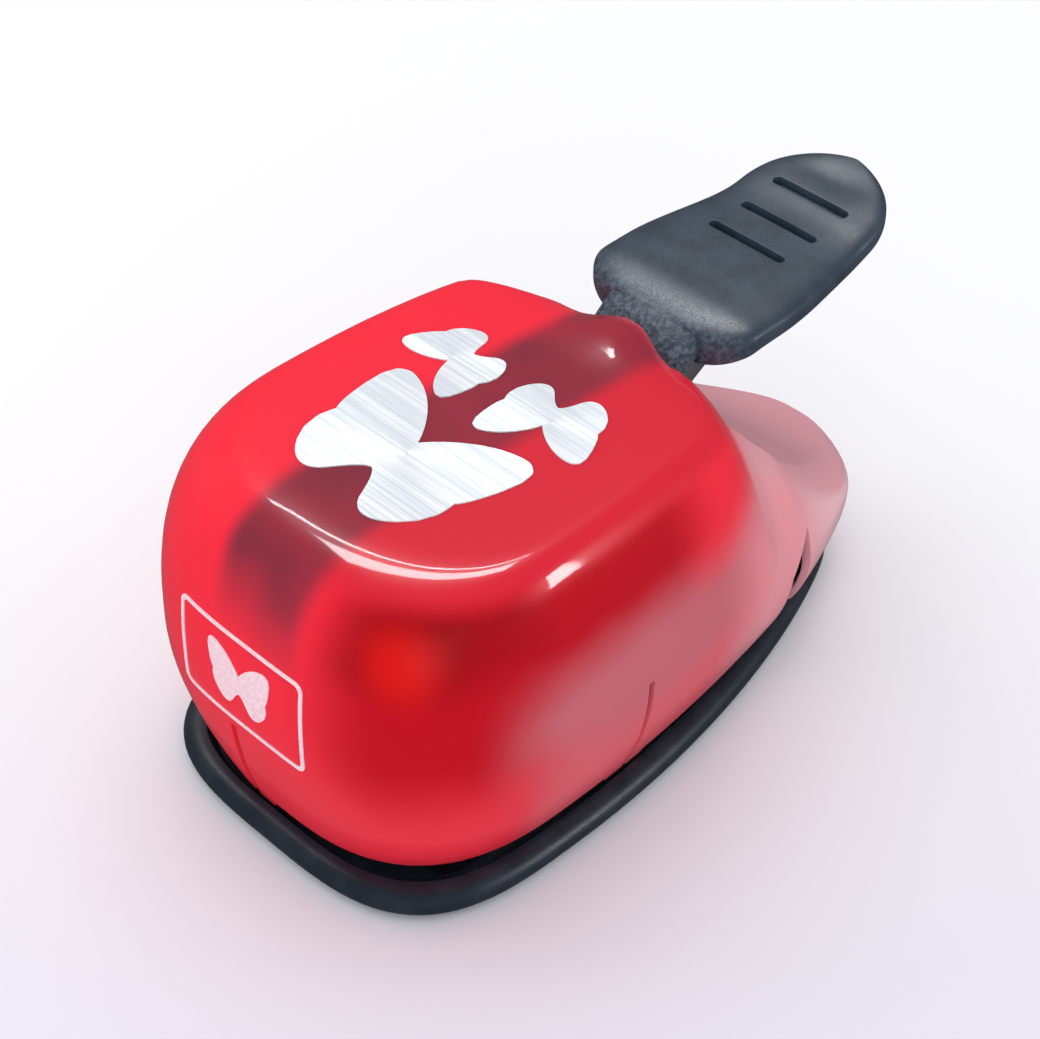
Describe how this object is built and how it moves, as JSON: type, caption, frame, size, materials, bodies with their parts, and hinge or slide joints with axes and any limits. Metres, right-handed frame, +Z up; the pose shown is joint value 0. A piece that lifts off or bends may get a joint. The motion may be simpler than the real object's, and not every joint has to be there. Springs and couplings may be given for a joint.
{
  "type": "craft punch",
  "caption": "Lever craft punch with a rounded translucent housing, dark base and a rear palm lever; presses butterfly shapes out of paper.",
  "frame": {"origin": "centre of the overall box, on the plane the base stands on", "axes": "+Z up, +Y from the rounded nose to the lever tip, +X to the right seen from behind the nose"},
  "size_m": [0.0864, 0.1603, 0.0785],
  "materials": {
    "cover_red": "glossy outside, frosted translucent",
    "base_dark": "satin moulded",
    "grip_dark": "fine textured",
    "foil_silver": "brushed foil",
    "label_white": "printed",
    "inner_plastic": "moulded",
    "tool_steel": "ground",
    "steel": "zinc plated"
  },
  "bodies": {
    "root": {"base_tray": "base_dark", "bracket_screw_1": "steel", "bracket_screw_2": "steel", "cover_screw_1": "steel", "cover_screw_2": "steel", "cover_shell": "cover_red", "die_plate": "tool_steel", "foil_large": "foil_silver", "foil_small_left": "foil_silver", "foil_small_right": "foil_silver", "frame_screw_1": "steel", "frame_screw_2": "steel", "frame_screw_3": "steel", "frame_screw_4": "steel", "guide_plate": "inner_plastic", "guide_post_left": "steel", "guide_post_right": "steel", "label_frame": "label_white", "label_icon": "label_white", "paper_stop": "inner_plastic", "pin_clip_left": "steel", "pin_clip_right": "steel", "pivot_bracket": "steel", "pivot_pin": "steel"},
    "lever": {"grip_screw_1": "steel", "grip_screw_2": "steel", "lever_arm": "steel", "lever_grip": "grip_dark", "press_pin": "steel", "press_roller": "steel"},
    "punch_head": {"bush_left": "inner_plastic", "bush_right": "inner_plastic", "press_block": "steel", "pressure_plate": "steel", "punch_large": "tool_steel", "punch_screw_large": "steel", "punch_screw_small_left": "steel", "punch_screw_small_right": "steel", "punch_small_left": "tool_steel", "punch_small_right": "tool_steel", "return_spring_left": "steel", "return_spring_right": "steel"}
  },
  "joints": [
    {"name": "lever_pivot", "type": "hinge", "parent": "root", "child": "lever", "pos_m": [0, -0.0672, 0.039], "axis": [-1, 0, 0], "range_deg": [0, 8.6]},
    {"name": "punch_slide", "type": "slide", "parent": "root", "child": "punch_head", "axis": [0, 0, -1], "range_m": [0, 0.0052], "stiffness_N_per_m": 1500, "springref_m": -0.004, "deforming": ["return_spring_left", "return_spring_right"]}
  ],
  "couplings": [
    {"joint": "punch_slide", "follows": "lever_pivot", "m_per_rad": 0.034}
  ]
}
